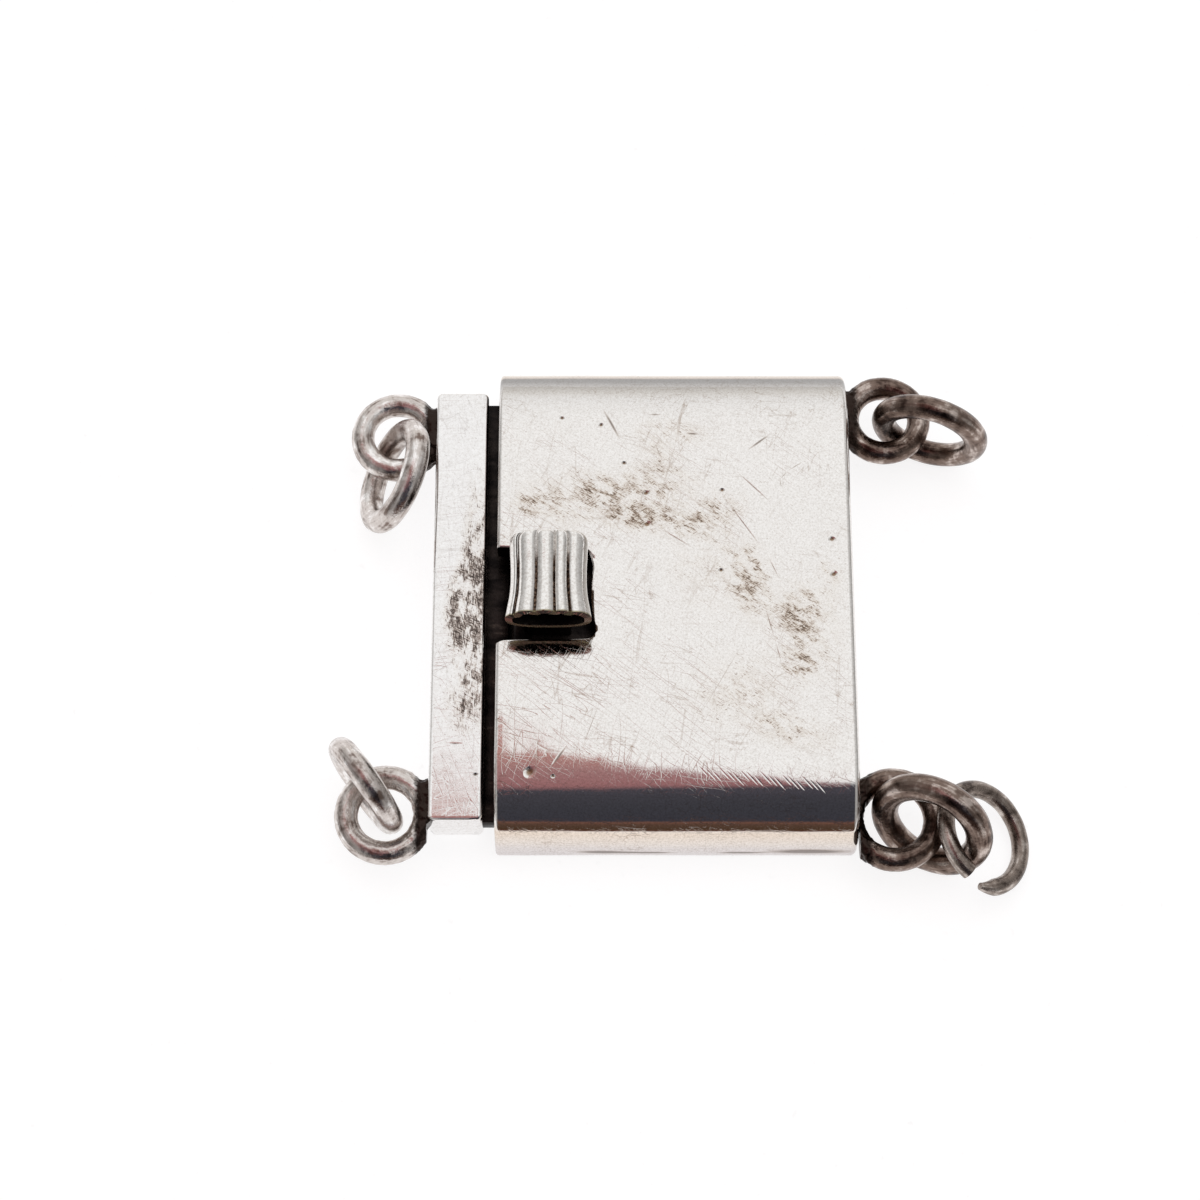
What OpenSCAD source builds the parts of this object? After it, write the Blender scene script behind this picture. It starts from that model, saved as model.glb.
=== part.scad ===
// Silver box clasp with a folded spring tongue, four soldered eyes and five jump rings.
// X runs along the tongue, away from the mouth of the box. Y runs across it. Z is up.
// The origin is the middle of the flat underside of the box.

/* [Box] */
// Length of the box, from its mouth to its closed end
box_len = 18; // [14:0.5:30]
// Width of the box across its two bent edges
box_wid = 26; // [20:0.5:40]
// Height of the box
box_h = 4.5; // [4:0.1:6]
// Thickness of the sheet that the box is bent from
sheet = 0.8; // [0.6:0.05:1]
// How far in from each long edge the top starts to bend down
edge_run = 4.2; // [2:0.1:5]
// How far down that bend reaches
edge_drop = 3.4; // [2:0.1:3.6]
// Outer radius of the two long edges along the underside
base_r = 0.8; // [0.3:0.1:1.2]
// Length of the lip soldered under the top at the mouth
lip_len = 0.7; // [0.4:0.05:1.2]
// How far that lip reaches down into the mouth
lip_drop = 0.5; // [0.3:0.05:0.6]

/* [Thumb notch] */
// Length of the notch, in from the mouth
notch_len = 4.9; // [4.7:0.1:6]
// Width of the notch
notch_wid = 4.8; // [4.6:0.1:6]
// Middle of the notch, measured from the middle of the box
notch_y = -0.4; // [-1:0.1:1]

/* [Tongue] */
// Width of the end bar, along the clasp
bar_w = 2.7; // [2:0.1:4]
// Length of the end bar, across the clasp
bar_len = 23.2; // [18:0.1:25]
// Height of the end bar
bar_h = 2.75; // [2.5:0.05:3]
// Height of the underside of the end bar above the underside of the box
bar_lift = 0.3; // [0:0.05:0.5]
// Radius of the upright corners of the end bar
bar_corner = 0.3; // [0.1:0.05:0.8]
// Sideways play that the tongue has taken up in the mouth
side_play = -0.25; // [-0.3:0.05:0.3]
// Gap between the end bar and the mouth of the closed box
bar_gap = 0.6; // [0.3:0.05:1]
// Height of the low neck between the end bar and the leaves
neck_h = 1; // [0.7:0.05:1.2]
// How far the neck reaches into the mouth
neck_in = 0.6; // [0.3:0.05:0.8]
// Thickness of the folded strip, both leaves alike
leaf_t = 0.5; // [0.35:0.05:0.55]
// Width of the upper leaf
leaf_wid = 18; // [14:0.5:18]
// Outer radius of the fold that joins the two leaves
fold_r = 0.8; // [0.7:0.05:0.85]
// How much higher the free end of the upper leaf stands than its fold
leaf_rise = 0.5; // [0.3:0.05:0.55]
// Length of the upturned catch at the free end of the upper leaf
catch_len = 0.45; // [0.3:0.05:0.8]
// Clearance between the catch and the back of the lip
catch_gap = 0.2; // [0.15:0.05:0.4]
// Clearance between the leaves and the inside of the box
slide_gap = 0.15; // [0.1:0.01:0.2]
// Hairline at the fold, where the strip is parted for the hinge
fold_gap = 0.06; // [0.04:0.01:0.1]

/* [Thumb tab] */
// Width of the fluted tube of the tab, along the clasp
tab_w = 4.27; // [3.5:0.05:4.4]
// Length of the fluted tube, across the clasp
tab_len = 4.4; // [3.5:0.1:4.4]
// Height of the flattened tube
tab_h = 2.4; // [2:0.1:3]
// Wall of the tube, under its flutes
tab_wall = 0.45; // [0.3:0.05:0.6]
// Number of flutes along the top of the tube
flutes = 5; // [4:1:6]
// Clearance between the underside of the tube and the top of the box
tab_lift = 0.9; // [0.8:0.05:1.5]
// Clearance between the tube and the closed end of the notch
tab_gap = 0.1; // [0.08:0.01:0.3]
// Width of the foot that carries the tube
foot_w = 2.2; // [1.5:0.1:3]

/* [Soldered eyes] */
// Thickness of the wire of the eyes
eye_wire = 1.25; // [1:0.05:1.4]
// Radius of the two back eyes, to the middle of the wire
eye_back_r = 1.85; // [1.7:0.05:2.1]
// Radius of the front eye on the tongue, to the middle of the wire
eye_front_r = 1.95; // [1.8:0.05:2.1]
// Radius of the front eye on the box, to the middle of the wire
eye_heavy_r = 2.05; // [2:0.05:2.2]
// Height of the eyes above the underside of the box
eye_z = 2.2; // [2.1:0.05:2.4]
// How far three of the eyes reach into the metal that they are soldered to
eye_sink = 0.45; // [0.3:0.05:0.6]
// The same for the front eye on the box, which is soldered on by the ends of its wire
eye_heavy_sink = 0.9; // [0.85:0.05:1]
// Thickness of the solder beside the eyes
solder_t = 0.95; // [0.6:0.05:1]
// Width of the solder where it meets the clasp
solder_w = 3.3; // [2.5:0.1:3.8]

/* [Jump rings] */
// Radius of the back left jump ring, to the middle of the wire
ring_back_left_r = 2.48; // [2.45:0.01:2.8]
// Radius of the front left jump ring
ring_front_left_r = 2.17; // [2.15:0.01:2.5]
// Radius of the back right jump ring
ring_back_right_r = 2.44; // [2.4:0.01:2.8]
// Radius of the heavy jump ring at the front right
ring_heavy_r = 2.47; // [2.45:0.01:2.7]
// Thickness of the wire of three of the jump rings
ring_wire = 1.25; // [1:0.05:1.3]
// Thickness of the wire of the heavy jump ring
heavy_wire = 1.35; // [1:0.05:1.4]
// Thickness of the wire of the open ring
open_wire = 0.88; // [0.7:0.02:0.95]
// Radius of the open ring, to the middle of the wire
open_r = 2.5; // [2.4:0.05:2.8]
// Length of arc of the open ring, in degrees
open_arc = 333; // [300:1:340]
// Sideways spread between the two cut ends of the open ring
open_spread = 0.63; // [0:0.01:1.2]

/* [Hidden] */
$fn = 64;
// flats in a quarter bend of the box, for each millimetre of its radius
flats_per_mm = 4;
// overlap that fuses two shapes of one solid
bite = 0.1;
// least flat, and least inner radius, left between two bends of the sheet
least_flat = 0.05;
least_r = 0.25;
// how much shorter the neck is than the end bar, at each end
neck_inset = 0.2;
// depth at which the eyes are cut off inside the metal
eye_root = 0.4;
// hairline between an eye and the air beside the corner that it is soldered to
corner_gap = 0.05;
// solder beside an eye: its reach along the eye, its taper and the part of the eye it fills
solder_run = 1;
solder_taper = 0.35;
solder_reach = 0.35;
solder_half = 0.95;
// the wire covers this much of the solder's inner edge
solder_cover = 0.35;
// flutes of the tab: margin at each side, in flutes, and radius against their pitch
flute_margin = 0.3;
flute_share = 0.56;
// thickness of the tube above its hollow, against the wall under it
crown_share = 1.6;
mouth_x = -box_len / 2;
end_x = box_len / 2;
roof_z = box_h - sheet;
inner_wid = box_wid - 2 * sheet;
// the bends stop short of the ones along the underside
outer_drop = min(edge_drop, box_h - base_r - least_flat);
inner_base_r = max(least_r, base_r - sheet);
inner_drop = min(outer_drop - sheet, roof_z - sheet - inner_base_r - least_flat);
// the bar stands off the mouth, and everything on the tongue is placed from its face
bar_x = mouth_x - bar_gap;
bar_left_x = bar_x - bar_w;
neck_z = sheet + slide_gap;
neck_len = bar_len - 2 * neck_inset;
// the fold turns about this line, and the hinge of the thumb tab lies on it
fold_x = end_x - sheet - 2 * slide_gap - fold_r;
fold_z = neck_z + fold_r;
leaf_top_fold = fold_z + fold_r;
leaf_top_free = leaf_top_fold + leaf_rise;
catch_x = mouth_x + lip_len + catch_gap;
catch_top = roof_z - slide_gap;
tab_right_x = mouth_x + notch_len - tab_gap;
tab_mid_x = tab_right_x - tab_w / 2;
tab_z = box_h + tab_lift;
flute_pitch = tab_w / (flutes + 2 * flute_margin);
flute_r = flute_pitch * flute_share;
// centres of the eyes: the two on the tongue, then the two on the box
back_y_left = 9.15;
front_y_left = -11.35;
back_y_right = 10.15;
front_y_right = -11.57;
function eye_reach(r, sink) = r + eye_wire / 2 - sink;
eye_back_left = [bar_left_x - eye_reach(eye_back_r, eye_sink), back_y_left, eye_z];
eye_front_left = [bar_left_x - eye_reach(eye_front_r, eye_sink), front_y_left, eye_z];
eye_back_right = [end_x + eye_reach(eye_back_r, eye_sink), back_y_right, eye_z];
eye_front_right = [end_x + eye_reach(eye_heavy_r, eye_heavy_sink), front_y_right, eye_z];
// the near ends of the metal that the eyes are soldered to
bar_near_y = side_play - bar_len / 2 + bar_corner;
box_near_y = -box_wid / 2 + solder_taper;
// how each jump ring stands: where on the eye it hangs (angle round the eye), the turn of
// its level line, its lean from lying flat, and its slack at the eye as a share of its radius
AT = 0;
TURN = 1;
LEAN = 2;
SLACK = 3;
stand_back_left = [-100.5, -100, 59.5, 0.12];
stand_front_left = [126, -54, 90.7, 0.078];
stand_back_right = [-26, -17, 88.5, 0.012];
stand_front_right = [-25, 151, 112.8, 0.093];
ring_clear = 0.08;
// the open ring lies in the heavy ring, with one side on the floor
open_turn = 98;
open_lean = 33;
open_start = 140;
open_off_x = 2.64;
open_off_y = -0.37;

function level_line(turn) = [cos(turn), sin(turn), 0];
function slope_line(turn, lean) = [-sin(turn) * cos(lean), cos(turn) * cos(lean), sin(lean)];

// Centre of a jump ring that rests on the floor and hangs round the wire of its eye.
function ring_centre(eye, eye_r, stand, ring_r, wire) =
    let (contact = eye + eye_r * [cos(stand[AT]), sin(stand[AT]), 0])
    let (reach = ring_r * (1 - stand[SLACK]) - eye_wire / 2 - wire / 2 - ring_clear)
    let (rest_z = wire / 2 + ring_r * sin(stand[LEAN]))
    let (up = (rest_z - eye[2]) / (reach * sin(stand[LEAN])))
    let (tilt = asin(max(-1, min(1, up))))
    contact + reach * (cos(tilt) * level_line(stand[TURN])
                       + sin(tilt) * slope_line(stand[TURN], stand[LEAN]));

heavy_centre = ring_centre(eye_front_right, eye_heavy_r, stand_front_right, ring_heavy_r, heavy_wire);
open_rest_z = open_wire / 2 + open_r * sin(open_lean) + open_spread / 4;
open_centre = [heavy_centre[0] + open_off_x, heavy_centre[1] + open_off_y, open_rest_z];
open_normal = cross(level_line(open_turn), slope_line(open_turn, open_lean));

// Quarter bend of an outline, about the point y, z, from the given angle.
function bend(y, z, run, drop, from) =
    let (steps = max(3, round(run * flats_per_mm)))
    [for (k = [0:steps]) [y + run * cos(from + 90 * k / steps), z + drop * sin(from + 90 * k / steps)]];

// Outline of the box or of its inside: wide bends along the top, small ones along the bottom.
module bent_outline(wid, h, run, drop, low_r) {
    polygon(concat(
        bend(wid / 2 - run, h - drop, run, drop, 0),
        bend(-wid / 2 + run, h - drop, run, drop, 90),
        bend(-wid / 2 + low_r, low_r, low_r, low_r, 180),
        bend(wid / 2 - low_r, low_r, low_r, low_r, 270)
    ));
}

// Bar of the given outline along X, from x0, with its underside at z.
module along_x(x0, len, z) {
    translate([x0, 0, z])
        rotate([90, 0, 90])
            linear_extrude(len)
                children();
}

// Plate of an outline drawn in X and Z, as wide as given across Y.
module across_y(mid_y, wid) {
    translate([0, mid_y + wid / 2, 0])
        rotate([90, 0, 0])
            linear_extrude(wid)
                children();
}

// Ring of round wire about its own Z axis.
module wire_ring(r, wire) {
    rotate_extrude($fn = 72)
        translate([r, 0])
            circle(wire / 2, $fn = 24);
}

// Solder that fills the corner between an eye and the clasp. side is 1 for metal on the right,
// foot_x is how far off the metal is and near how far it reaches towards the near end.
module solder(r, side, foot_x, near) {
    far = solder_w / 2;
    translate([0, 0, -solder_t / 2])
        linear_extrude(solder_t)
            difference() {
                polygon([
                    [side * (foot_x + bite), -near],
                    [side * (foot_x + bite), far],
                    [side * (foot_x - solder_run), far - solder_taper],
                    [side * (r * solder_reach), r * solder_half],
                    [side * (r * solder_reach), -r * solder_half],
                    [side * (foot_x - solder_run), -near],
                ]);
                circle(r - eye_wire * solder_cover);
            }
}

// Eye soldered to the face at face_x. The metal behind that face ends at near_y.
module soldered_eye(place, r, side, face_x, near_y) {
    cut_len = 2 * (r + eye_wire);
    root_x = side > 0 ? face_x + eye_root : face_x - eye_root - cut_len;
    beside_x = side > 0 ? face_x - corner_gap : face_x + corner_gap - cut_len;
    difference() {
        translate(place) {
            wire_ring(r, eye_wire);
            solder(r, side, abs(face_x - place[0]), min(solder_w / 2, place[1] - near_y));
        }
        translate([root_x, place[1] - cut_len / 2, place[2] - eye_wire])
            cube([cut_len, cut_len, 2 * eye_wire]);
        translate([beside_x, near_y - cut_len, place[2] - eye_wire])
            cube([cut_len, cut_len, 2 * eye_wire]);
    }
}

// Box: a wrapped sheet with a closed end, a lip at the mouth, a notch and two eyes.
module box() {
    color("silver")
        union() {
            difference() {
                along_x(mouth_x, box_len, 0)
                    bent_outline(box_wid, box_h, edge_run, outer_drop, base_r);
                along_x(mouth_x - bite, box_len - sheet + bite, sheet)
                    bent_outline(inner_wid, roof_z - sheet, edge_run - sheet, inner_drop, inner_base_r);
                notch();
            }
            mouth_lip();
            soldered_eye(eye_back_right, eye_back_r, -1, end_x, box_near_y);
            soldered_eye(eye_front_right, eye_heavy_r, -1, end_x, box_near_y);
        }
}

module notch() {
    translate([mouth_x - bite, notch_y - notch_wid / 2, roof_z - lip_drop - bite])
        cube([notch_len + bite, notch_wid, sheet + lip_drop + 2 * bite]);
}

// Lip under the top, on each side of the notch. The catch stops behind it.
module mouth_lip() {
    lip_end_y = box_wid / 2 - edge_run;
    near_y = notch_y - notch_wid / 2;
    far_y = notch_y + notch_wid / 2;
    translate([mouth_x, -lip_end_y, roof_z - lip_drop])
        cube([lip_len, near_y + lip_end_y, lip_drop + bite]);
    translate([mouth_x, far_y, roof_z - lip_drop])
        cube([lip_len, lip_end_y - far_y, lip_drop + bite]);
}

// Tongue: the end bar with its neck, the lower leaf and two eyes.
module tongue() {
    color("gainsboro")
        union() {
            end_bar();
            neck();
            lower_leaf();
            soldered_eye(eye_back_left, eye_back_r, 1, bar_left_x, bar_near_y);
            soldered_eye(eye_front_left, eye_front_r, 1, bar_left_x, bar_near_y);
        }
}

module end_bar() {
    translate([bar_left_x, side_play - bar_len / 2, bar_lift])
        linear_extrude(bar_h)
            rounded_corners(bar_w, bar_len, bar_corner);
}

module rounded_corners(wid, len, r) {
    translate([r, 0])
        square([wid - 2 * r, len]);
    translate([0, r])
        square([wid, len - 2 * r]);
    for (x = [r, wid - r], y = [r, len - r])
        translate([x, y])
            circle(r);
}

module neck() {
    translate([bar_x - bite, side_play - neck_len / 2, neck_z])
        cube([bar_gap + neck_in + bite, neck_len, neck_h]);
}

module lower_leaf() {
    start_x = mouth_x + neck_in - bite;
    lower_wid = inner_wid - 4 * slide_gap;
    translate([start_x, -lower_wid / 2, neck_z])
        cube([fold_x - fold_gap - start_x, lower_wid, leaf_t]);
}

// Spring leaf: the fold, the upper leaf with its catch, and the thumb tab soldered on it.
module spring_leaf() {
    color("lightsteelblue")
        union() {
            across_y(0, leaf_wid)
                leaf_outline();
            tab_foot();
            thumb_tab();
        }
}

module leaf_outline() {
    translate([fold_x, fold_z])
        difference() {
            circle(fold_r);
            circle(fold_r - leaf_t);
            translate([-2 * fold_r, -fold_r - bite])
                square([2 * fold_r, 2 * fold_r + 2 * bite]);
        }
    polygon([
        [fold_x, leaf_top_fold - leaf_t],
        [fold_x, leaf_top_fold],
        [catch_x + 2 * catch_len, leaf_top_free],
        [catch_x + catch_len, catch_top],
        [catch_x, catch_top],
        [catch_x, leaf_top_free - leaf_t],
    ]);
}

module tab_foot() {
    foot_z = leaf_top_free - leaf_t / 2;
    translate([tab_mid_x - foot_w / 2, notch_y - tab_len / 2 + tab_wall, foot_z])
        cube([foot_w, tab_len - 2 * tab_wall, tab_z + tab_wall / 2 - foot_z]);
}

// Thumb tab: a flattened tube across the clasp, open at both ends, fluted along its top.
module thumb_tab() {
    across_y(notch_y, tab_len)
        difference() {
            union() {
                flat_tube(tab_w, tab_h - flute_r / 2);
                for (k = [1:flutes])
                    translate([tab_mid_x + (k - (flutes + 1) / 2) * flute_pitch, tab_z + tab_h - flute_r])
                        circle(flute_r, $fn = 32);
            }
            translate([0, tab_wall])
                flat_tube(tab_w - 2 * tab_wall, tab_h - (1 + crown_share) * tab_wall);
        }
}

// Outline of a flattened tube: a middle with two round sides.
module flat_tube(wid, h) {
    translate([tab_mid_x - wid / 2 + h / 2, tab_z])
        square([wid - h, h]);
    for (side = [-1, 1])
        translate([tab_mid_x + side * (wid - h) / 2, tab_z + h / 2])
            circle(h / 2);
}

module jump_ring(eye, eye_r, stand, ring_r, wire) {
    color("dimgray")
        translate(ring_centre(eye, eye_r, stand, ring_r, wire))
            rotate([0, 0, stand[TURN]])
                rotate([stand[LEAN], 0, 0])
                    wire_ring(ring_r, wire);
}

module jump_ring_back_left() {
    jump_ring(eye_back_left, eye_back_r, stand_back_left, ring_back_left_r, ring_wire);
}

module jump_ring_front_left() {
    jump_ring(eye_front_left, eye_front_r, stand_front_left, ring_front_left_r, ring_wire);
}

module jump_ring_back_right() {
    jump_ring(eye_back_right, eye_back_r, stand_back_right, ring_back_right_r, ring_wire);
}

module jump_ring_front_right() {
    jump_ring(eye_front_right, eye_heavy_r, stand_front_right, ring_heavy_r, heavy_wire);
}

// Point of the open ring's wire: share runs from 0 at one cut end to 1 at the other.
function open_radial(share) =
    let (around = open_start - share * open_arc)
    cos(around) * level_line(open_turn) + sin(around) * slope_line(open_turn, open_lean);

function open_point(share) =
    open_centre + open_r * open_radial(share) + open_spread * (0.5 - share) * open_normal;

// Open ring: a round wire swept along one turn that stops short, its ends spread sideways.
module open_jump_ring() {
    steps = 60;
    sides = 14;
    points = [
        for (i = [0:steps], j = [0:sides - 1])
            let (out = open_radial(i / steps))
            let (round = 360 * j / sides)
            open_point(i / steps) + open_wire / 2 * (cos(round) * out + sin(round) * open_normal)
    ];
    wall_faces = [
        for (i = [0:steps - 1], j = [0:sides - 1])
            let (next = (j + 1) % sides)
            [i * sides + j, i * sides + next, (i + 1) * sides + next, (i + 1) * sides + j]
    ];
    first_end = [for (j = [sides - 1:-1:0]) j];
    last_end = [for (j = [0:sides - 1]) steps * sides + j];
    color("slategray")
        polyhedron(points, concat([first_end], wall_faces, [last_end]), convexity = 6);
}

box();
tongue();
spring_leaf();
jump_ring_back_left();
jump_ring_front_left();
jump_ring_back_right();
jump_ring_front_right();
open_jump_ring();
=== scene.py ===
import math

import bpy
from mathutils import Matrix, Vector, noise


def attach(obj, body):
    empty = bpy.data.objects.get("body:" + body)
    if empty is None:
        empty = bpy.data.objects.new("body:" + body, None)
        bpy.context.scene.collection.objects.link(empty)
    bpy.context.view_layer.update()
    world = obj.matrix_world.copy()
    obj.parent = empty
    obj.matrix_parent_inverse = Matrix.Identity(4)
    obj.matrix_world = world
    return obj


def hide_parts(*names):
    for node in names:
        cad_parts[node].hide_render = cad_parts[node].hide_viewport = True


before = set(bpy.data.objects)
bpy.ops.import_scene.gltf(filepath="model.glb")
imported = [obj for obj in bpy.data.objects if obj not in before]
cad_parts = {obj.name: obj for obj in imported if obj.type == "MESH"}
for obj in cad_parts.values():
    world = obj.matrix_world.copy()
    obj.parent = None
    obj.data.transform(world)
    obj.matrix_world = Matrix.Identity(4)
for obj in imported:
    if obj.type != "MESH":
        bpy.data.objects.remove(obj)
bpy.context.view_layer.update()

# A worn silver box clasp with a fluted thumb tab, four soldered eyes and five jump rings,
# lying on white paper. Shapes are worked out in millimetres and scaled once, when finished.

MM = 0.001

# box: mouth, closed end, half width, height, sheet thickness
MOUTH_X, END_X, HALF_WID, BOX_H, SHEET = -9.0, 9.0, 13.0, 4.5, 0.8
# upper bends (run, drop) and the small ones along the underside, outside and inside
OUTER_BEND, INNER_BEND = (4.2, 3.4, 0.8), (3.4, 2.6, 0.25)
ROOF_Z = BOX_H - SHEET
# where the upper bends begin, either side of the middle
BEND_Y = HALF_WID - OUTER_BEND[0]
# tongue: end bar, neck, leaves
BAR = (-12.3, -9.6, -11.85, 11.35, 0.3, 3.05)
NECK = (-9.7, -8.4, -11.65, 11.15, 0.95, 1.95)
LOWER_LEAF = (-8.5, 7.04, -11.9, 11.9, 0.95, 1.45)
FOLD = (7.1, 1.75, 0.8, 0.3)
# thumb tab: middle in X, Y, its size, and the height of its underside
TAB_X, TAB_Y, TAB_W, TAB_LEN, TAB_H, TAB_Z = -6.335, -0.4, 4.27, 4.4, 2.4, 5.4
WIRE = 1.25
# kinds of node that are added often
MATH, VECTOR, MIX = "ShaderNodeMath", "ShaderNodeVectorMath", "ShaderNodeMix"
RAMP, NOISE = "ShaderNodeValToRGB", "ShaderNodeTexNoise"


def colour(text):
    """A colour from its sRGB hex digits, as the shader wants it."""
    parts = [int(text[i:i + 2], 16) / 255 for i in (0, 2, 4)]
    return [p / 12.92 if p <= 0.04045 else ((p + 0.055) / 1.055) ** 2.4 for p in parts] + [1]


def feed(tree, node, *links):
    """Gives a node's inputs what they need: plain values, sockets, or nodes for their first output.

    A link is what the input in its place gets, or the pair (input name or number, what it gets).
    """
    for place, link in enumerate(links):
        key, value = link if isinstance(link, tuple) and len(link) == 2 else (place, link)
        if isinstance(value, bpy.types.Node):
            value = value.outputs[0]
        if isinstance(value, bpy.types.NodeSocket):
            tree.links.new(value, node.inputs[key])
        else:
            node.inputs[key].default_value = value


def add(tree, kind, *links, **settings):
    """A node with its settings and links."""
    node = tree.nodes.new(kind)
    for name, value in settings.items():
        setattr(node, name, value)
    feed(tree, node, *links)
    return node


def stops(ramp, *rows, smooth=True):
    """The same ramp node with (place, grey) or (place, hex colour) stops."""
    ramp.color_ramp.interpolation = "EASE" if smooth else "LINEAR"
    elements = ramp.color_ramp.elements
    while len(elements) < len(rows):
        elements.new(0.5)
    for element, (place, tone) in zip(elements, rows):
        element.position = place
        element.color = colour(tone) if isinstance(tone, str) else (tone, tone, tone, 1)
    return ramp


def loft(name, loops):
    """A closed skin through loops of equally many points, with both ends filled."""
    n = len(loops[0])
    points = [p for loop in loops for p in loop]
    faces = [(i * n + j, i * n + (j + 1) % n, (i + 1) * n + (j + 1) % n, (i + 1) * n + j)
             for i in range(len(loops) - 1) for j in range(n)]
    last = (len(loops) - 1) * n
    faces += [tuple(range(n - 1, -1, -1)), tuple(last + j for j in range(n))]
    return outward(mesh_of(name, points, faces))


def mesh_of(name, points, faces, edges=()):
    mesh = bpy.data.meshes.new(name)
    mesh.from_pydata([tuple(p) for p in points], list(edges), list(faces))
    mesh.update()
    return mesh


def outward(mesh):
    """The same closed mesh with every face turned outwards."""
    volume = sum(f.center.dot(f.normal) * f.area for f in mesh.polygons)
    if volume < 0:
        mesh.flip_normals()
    return mesh


def arc(cx, cy, rx, ry, start, end, steps):
    """Points on part of an ellipse, angles in degrees, both ends included."""
    turns = [math.radians(start + (end - start) * k / steps) for k in range(steps + 1)]
    return [(cx + rx * math.cos(t), cy + ry * math.sin(t)) for t in turns]


def work(mesh):
    """A scratch object that carries modifiers until the piece is finished."""
    obj = bpy.data.objects.new("work", mesh)
    bpy.context.scene.collection.objects.link(obj)
    return obj


def modify(obj, kind, **settings):
    modifier = obj.modifiers.new(kind.lower(), kind)
    for name, value in settings.items():
        setattr(modifier, name, value)
    return modifier


def run_tree(obj, tree, **values):
    """Geometry Nodes on a scratch object, its named inputs set by their identifiers."""
    modifier = obj.modifiers.new(tree.name, "NODES")
    modifier.node_group = tree
    for item in tree.interface.items_tree:
        if item.item_type == "SOCKET" and item.in_out == "INPUT" and item.name in values:
            modifier[item.identifier] = values[item.name]


def baked(obj):
    """The evaluated mesh of a scratch object, which is then removed."""
    bpy.context.view_layer.update()
    graph = bpy.context.evaluated_depsgraph_get()
    mesh = bpy.data.meshes.new_from_object(
        obj.evaluated_get(graph), preserve_all_data_layers=True, depsgraph=graph)
    bpy.data.objects.remove(obj)
    return mesh


def piece(name, mesh, body, node, slot, *materials, crease=35):
    """A finished mesh in millimetres becomes a piece of the clasp on its body."""
    mesh.transform(Matrix.Scale(MM, 4))
    mesh.name = name
    for face in mesh.polygons:
        face.use_smooth = True
    mesh.set_sharp_from_angle(angle=math.radians(crease))
    if materials:
        mesh.materials.clear()
        for material in materials:
            mesh.materials.append(material)
        for face in mesh.polygons:
            face.material_index = 0
    obj = bpy.data.objects.new(name, mesh)
    bpy.context.scene.collection.objects.link(obj)
    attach(obj, body)
    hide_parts(node)
    return obj


# Finishes

def new_material(name):
    material = bpy.data.materials.new(name)
    material.use_nodes = True
    tree = material.node_tree
    tree.nodes["Principled BSDF"].inputs["Metallic"].default_value = 1
    return material, tree, tree.nodes["Principled BSDF"]


def mark(tree, place, middle, reach, turn=0):
    """A soft spindle: 1 in its middle and 0 at its reach along, across and through, in mm."""
    moved = add(tree, "ShaderNodeMapping", place, ("Location", [v * MM for v in middle]),
                ("Rotation", (0, 0, math.radians(turn))), ("Scale", [v * MM for v in reach]),
                vector_type="TEXTURE")
    return add(tree, "ShaderNodeTexGradient", moved, gradient_type="SPHERICAL").outputs["Fac"]


def total(tree, values):
    result = values[0]
    for value in values[1:]:
        result = add(tree, MATH, result, value, operation="ADD")
    return result


def grain(tree, place, across, along=None, turn=0, detail=3, rough=0.6, wobble=0.0):
    """Noise whose grains are about so many mm across, and longer along a direction."""
    along = along or across
    moved = add(tree, "ShaderNodeMapping", place, ("Rotation", (0, 0, math.radians(turn))),
                ("Scale", (along * MM, across * MM, across * MM)), vector_type="TEXTURE")
    return add(tree, NOISE, ("Vector", moved), ("Scale", 1.0), ("Detail", detail), ("Roughness", rough),
               ("Distortion", wobble)).outputs["Fac"]


def hairlines(tree, place, across, along, turn, thin):
    """Thin lines where stretched noise crosses its middle value, as polishing scratches run."""
    waves = grain(tree, place, across, along, turn, detail=1, rough=0.5)
    off = add(tree, MATH, add(tree, MATH, waves, 0.5, operation="SUBTRACT"), operation="ABSOLUTE")
    return stops(add(tree, RAMP, off), (0.0, 1.0), (thin, 0.0), smooth=False)


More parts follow.
